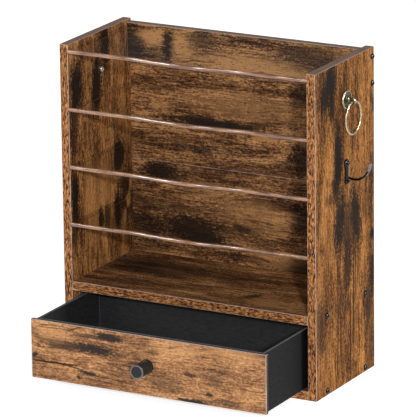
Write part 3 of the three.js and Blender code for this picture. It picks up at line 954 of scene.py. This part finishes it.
def make_eye(side, sign, seat):
    """The stud through the panel, its collar, and the oval eye that the ring hangs in."""
    node = f"{side}_ring_eye_stud"
    low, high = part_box(node)
    eye_half_width = 3.8 * MM
    eye_half_height = 4.4 * MM
    eye_half_thickness = (high.y - low.y) / 2 * 0.69
    inner_end = low.x if sign > 0 else high.x
    outer_end = high.x if sign > 0 else low.x
    middle = Vector((outer_end - sign * eye_half_width, seat.y, low.z + eye_half_height))
    start = Vector((inner_end, seat.y, seat.z))
    reach = abs(seat.x - inner_end) + 0.1 * MM
    eye_start = abs(middle.x - inner_end) - 1.5 * MM
    profile = rounded([
        (0, 0),
        (0, 1.1 * MM),
        (0.4 * MM, 1.5 * MM),
        (reach, 1.5 * MM),
        (reach, 2.9 * MM),
        (reach + 1.1 * MM, 2.9 * MM),
        (reach + 1.7 * MM, 1.9 * MM),
        (eye_start, 1.9 * MM),
        (eye_start, 0),
    ], 0.25 * MM)
    mesh = bmesh.new()
    turned(mesh, profile, start, (sign, 0, 0), 40)

    hole_centre = Vector((middle.x, seat.y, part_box(f"{side}_pull_ring")[1].z - RING_WIRE))
    section = [(0, -0.75), (0, 0.75), (0.14, 1), (0.8, 1), (1, 0.7), (1, -0.7), (0.8, -1), (0.14, -1)]
    steps = 56
    loops = []
    for i in range(steps):
        angle = 2 * math.pi * i / steps
        around = Vector((math.cos(angle), 0, math.sin(angle)))
        inner = hole_centre + around * EYE_HOLE
        outer = middle + Vector((around.x * eye_half_width, 0, around.z * eye_half_height))
        loops.append([mesh.verts.new(inner.lerp(outer, share)
                                     + Vector((0, eye_half_thickness * height, 0)))
                      for share, height in section])
    join_loops(mesh, [*loops, loops[0]])
    make_piece(f"{side}_eye", mesh, [BRASS], "carcass", [node], smooth_under=50)


def make_nut(side, sign):
    """The hexagon nut on the stud's inner end."""
    node = f"{side}_ring_nut"
    low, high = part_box(node)
    height = high.x - low.x
    corner = max(high.y - low.y, high.z - low.z) / 2
    start = Vector((high.x if sign > 0 else low.x, (low.y + high.y) / 2, (low.z + high.z) / 2))
    profile = [
        (0, STUD_BORE),
        (0, corner * 0.86),
        (height * 0.12, corner, hexagon),
        (height * 0.84, corner, hexagon),
        (height, corner * 0.84),
        (height, STUD_BORE + 0.4 * MM),
        (height - 0.4 * MM, STUD_BORE),
    ]
    mesh = bmesh.new()
    turned(mesh, profile, start, (-sign, 0, 0), 48)
    make_piece(f"{side}_nut", mesh, [BRIGHT], "carcass", [node], smooth_under=25)


def make_ring(side):
    """A plain round-wire ring that hangs in the eye."""
    node = f"{side}_pull_ring"
    low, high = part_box(node)
    centre = (low + high) / 2
    wire = (high.x - low.x) / 2
    radius = (high.z - low.z) / 2 - wire
    around, section = 112, 24
    mesh = bmesh.new()
    loops = []
    for i in range(around):
        angle = 2 * math.pi * i / around
        out = Vector((0, math.sin(angle), math.cos(angle)))
        loops.append([mesh.verts.new(centre + out * (radius + wire * math.cos(turn))
                                     + Vector((wire * math.sin(turn), 0, 0)))
                      for turn in (2 * math.pi * k / section for k in range(section))])
    join_loops(mesh, [*loops, loops[0]])
    make_piece(f"{side}_ring", mesh, [BRASS], f"{side}_ring", [node],
               smooth_under=60)


# The hook in millimetres, from the panel and the backplate's middle: lobes (height, radius), rounding
# (share of the plate's thickness, how far it is drawn in) and arm (distance out, height).
HOOK_LOBES = ((10.6, 4.9), (-11.0, 4.2))
HOOK_PLATE = 3.4
HOOK_NECK = 2.8
HOOK_ROUNDING = ((0.0, 0.0), (0.4, 0.0), (0.66, 0.35), (0.86, 1.0), (1.0, 2.1))
HOOK_ARM_HALF_SIZES = (1.5 * MM, 1.4 * MM)
HOOK_ARM = ((1.2, -5.2), (6, -7), (12, -7.4), (18, -6.3), (24, -2.6), (28.4, 3), (30.3, 8.9))
HOOK_SPOON = (30.2, 8.9)
HOOK_SPOON_HALF_SIZES = (1.5, 5.1, 5.5)
HOOK_SPOON_OUTER_SHARE = 0.55
HOOK_SPOON_TILT = 0.16
# From this distance out, the spoon's outer faces take the painted reflection.
HOOK_PAINTED_REFLECTION_FROM = 27


def hook_plate_outline():
    """The backplate's outline in (y, z) millimetres: two round lobes with a slim neck between."""
    (top, top_radius), (foot, foot_radius) = HOOK_LOBES
    steps = 14
    outline = []
    for i in range(steps + 1):
        angle = math.radians(-45 + 270 * i / steps)
        outline.append((top_radius * math.cos(angle), top + top_radius * math.sin(angle)))
    slant = math.sqrt(0.5)
    neck = (foot_radius * slant, foot + foot_radius * slant)
    shoulder = (top_radius * slant, top - top_radius * slant)

    def curve(start, end, side):
        for i in range(1, 8):
            t = i / 8
            width = (1 - t) ** 2 * start[0] + 2 * (1 - t) * t * HOOK_NECK + t * t * end[0]
            height = (1 - t) ** 2 * start[1] + t * t * end[1]
            outline.append((side * width, height))
    curve(shoulder, neck, -1)
    for i in range(steps + 1):
        angle = math.radians(135 + 270 * i / steps)
        outline.append((foot_radius * math.cos(angle), foot + foot_radius * math.sin(angle)))
    curve(neck, shoulder, 1)
    return outline


def add_hook_plate(mesh, at):
    """The backplate; at gives the place of a point from its distance out, its y and its height."""
    outline = hook_plate_outline()
    layers = []
    for depth, inset in HOOK_ROUNDING:
        layer = []
        for y, z in outline:
            centre_z = min(max(z, HOOK_LOBES[1][0]), HOOK_LOBES[0][0])
            away = Vector((y, z - centre_z))
            shrunk = away * (1 - inset / max(away.length, inset + 0.1))
            layer.append(mesh.verts.new(at(depth * HOOK_PLATE, shrunk.x, centre_z + shrunk.y)))
        layers.append(layer)
    join_loops(mesh, layers)
    mesh.faces.new(layers[0])
    mesh.faces.new(layers[-1])


def add_hook_spoon(mesh, at):
    """The arm's end: a flattened ball, flatter on its outer side, and tilted."""
    ball = bmesh.ops.create_uvsphere(mesh, u_segments=36, v_segments=24, radius=1.0)
    tilt = Matrix.Rotation(HOOK_SPOON_TILT, 3, "Y")
    half_x, half_y, half_z = HOOK_SPOON_HALF_SIZES
    for vertex in ball["verts"]:
        x, y, z = vertex.co
        if x > 0:
            x *= HOOK_SPOON_OUTER_SHARE
        spot = tilt @ Vector((x * half_x, y * half_y, z * half_z))
        vertex.co = at(HOOK_SPOON[0] + spot.x, spot.y, HOOK_SPOON[1] + spot.z)


def make_hook(side, sign):
    """A cast hook: plate, arm and spoon end, fused by a fine remesh so that they flow together."""
    node = f"{side}_hook"
    low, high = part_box(node)
    root = low.x if sign > 0 else high.x
    middle_y = (low.y + high.y) / 2
    middle_z = high.z - sum(HOOK_LOBES[0]) * MM

    def at(x, y, z):
        return Vector((root + sign * x * MM, middle_y + y * MM, middle_z + z * MM))
    mesh = bmesh.new()
    add_hook_plate(mesh, at)
    tube(mesh, smooth_path([at(x, 0, z) for x, z in HOOK_ARM], 6), *HOOK_ARM_HALF_SIZES, 20)
    add_hook_spoon(mesh, at)
    made = make_piece(f"{side}_coat_hook", mesh, [BLACK_METAL, SPOON_PAINTED_REFLECTION], "carcass", [node])
    remesh = made.modifiers.new("fuse", "REMESH")
    remesh.mode = "VOXEL"
    remesh.voxel_size = 0.38 * MM
    relax = made.modifiers.new("relax", "SMOOTH")
    relax.factor = 0.5
    relax.iterations = 5
    apply_modifiers(made)
    made.data.shade_smooth()
    # The spoon end's outward faces take the bright steel: a painted reflection on the black spoon.
    for face in made.data.polygons:
        if abs(face.center.x - root) > HOOK_PAINTED_REFLECTION_FROM * MM and face.normal.x * sign > 0.35:
            face.material_index = 1


def apply_modifiers(made):
    """Replaces a piece's mesh by what its modifiers make of it."""
    bpy.context.view_layer.update()
    result = bpy.data.meshes.new_from_object(made.evaluated_get(bpy.context.evaluated_depsgraph_get()))
    made.modifiers.clear()
    made.data = result


# Stage

FLOOR_HALF = 6.0
LIGHT_TARGET = Vector((0, 0, 0.2))


def make_floor():
    graph = Graph("pale_floor")
    mottle = graph.noise(graph.place, (300, 300, 300), 3.0, 0.5)
    tone = graph.ramp(mottle, (0.3, (240, 240, 240)), (0.7, (246, 246, 246)))
    material = graph.finish(Base_Color=tone, Roughness=0.9, Emission_Color=(255, 255, 255),
                            Emission_Strength=0.74)
    mesh = bmesh.new()
    mesh.faces.new([mesh.verts.new((x * FLOOR_HALF, y * FLOOR_HALF, 0))
                    for x, y in ((-1, -1), (1, -1), (1, 1), (-1, 1))])
    data = bpy.data.meshes.new("floor")
    mesh.to_mesh(data)
    mesh.free()
    data.materials.append(material)
    floor = add_object("floor", data)


def looking(azimuth, elevation):
    """The direction from the object towards a light or camera. Azimuth 0 is the front."""
    a, e = math.radians(azimuth), math.radians(elevation)
    return Vector((math.sin(a) * math.cos(e), -math.cos(a) * math.cos(e), math.sin(e)))


def add_light(name, kind, azimuth, elevation, distance=0.0, size=(1.0, 1.0), energy=1.0):
    """A light that shines on the object from a direction. Distance and size are an area light's."""
    data = bpy.data.lights.new(name, kind)
    data.energy = energy
    if kind == "AREA":
        data.shape = "RECTANGLE"
        data.size, data.size_y = size
    light = add_object(name, data)
    toward = looking(azimuth, elevation)
    light.location = LIGHT_TARGET + toward * distance
    light.rotation_euler = toward.to_track_quat("Z", "Y").to_euler()
    return light


# Lights that show only as reflections, in the acrylic's edges and the metal: (name, azimuth,
# elevation, width in metres, power in watts).
STRIPS = (
    ("left_strip", -38.5, 21, 0.12, 24),
    ("middle_strip", -20.5, 21, 0.1, 16),
    ("right_strip", 96, 30, 0.25, 130),
)


def make_lights():
    world = bpy.data.worlds.new("studio")
    world.use_nodes = True
    background = world.node_tree.nodes["Background"]
    background.inputs["Color"].default_value = (1.0, 1.0, 1.0, 1.0)
    background.inputs["Strength"].default_value = 0.25
    bpy.context.scene.world = world
    key = add_light("key", "SUN", 34, 19.5, energy=1.72)
    key.data.angle = math.radians(3.5)
    fill = add_light("left_softbox", "AREA", -35, 25, 2.4, (1.2, 1.2), 4)
    fill.visible_glossy = False
    add_light("top_softbox", "AREA", 10, 80, 2.0, (1.2, 1.2), 3)
    for name, azimuth, elevation, width, power in STRIPS:
        strip = add_light(name, "AREA", azimuth, elevation, 2.5, (width, 1.2), power)
        strip.visible_diffuse = False


def make_camera():
    """The view from the front right, a little above; the camera faces just beside the object."""
    place = looking(28.63, 16.1) * 5.069
    facing = looking(28.77, 16.13)
    roll = Quaternion((0, 0, 1), math.radians(-0.72))
    data = bpy.data.cameras.new("camera")
    data.lens = 372.4
    data.sensor_width = 36.0
    data.clip_end = 50.0
    camera = add_object("camera", data)
    low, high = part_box("left_side_panel")
    camera.location = Vector((0, 0, (low.z + high.z) / 2)) + place
    camera.rotation_mode = "QUATERNION"
    camera.rotation_quaternion = facing.to_track_quat("Z", "Y") @ roll
    bpy.context.scene.camera = camera


make_camera()
make_lights()
make_floor()
make_carcass()
for shelf_number in SHELF_NUMBERS:
    make_acrylic_shelf(shelf_number)
make_drawer()
make_knob()
make_fasteners()
for side_name, side_sign in SIDES.items():
    make_ring_pull(side_name, side_sign)
    make_hook(side_name, side_sign)
bpy.context.scene.view_settings.view_transform = "Standard"
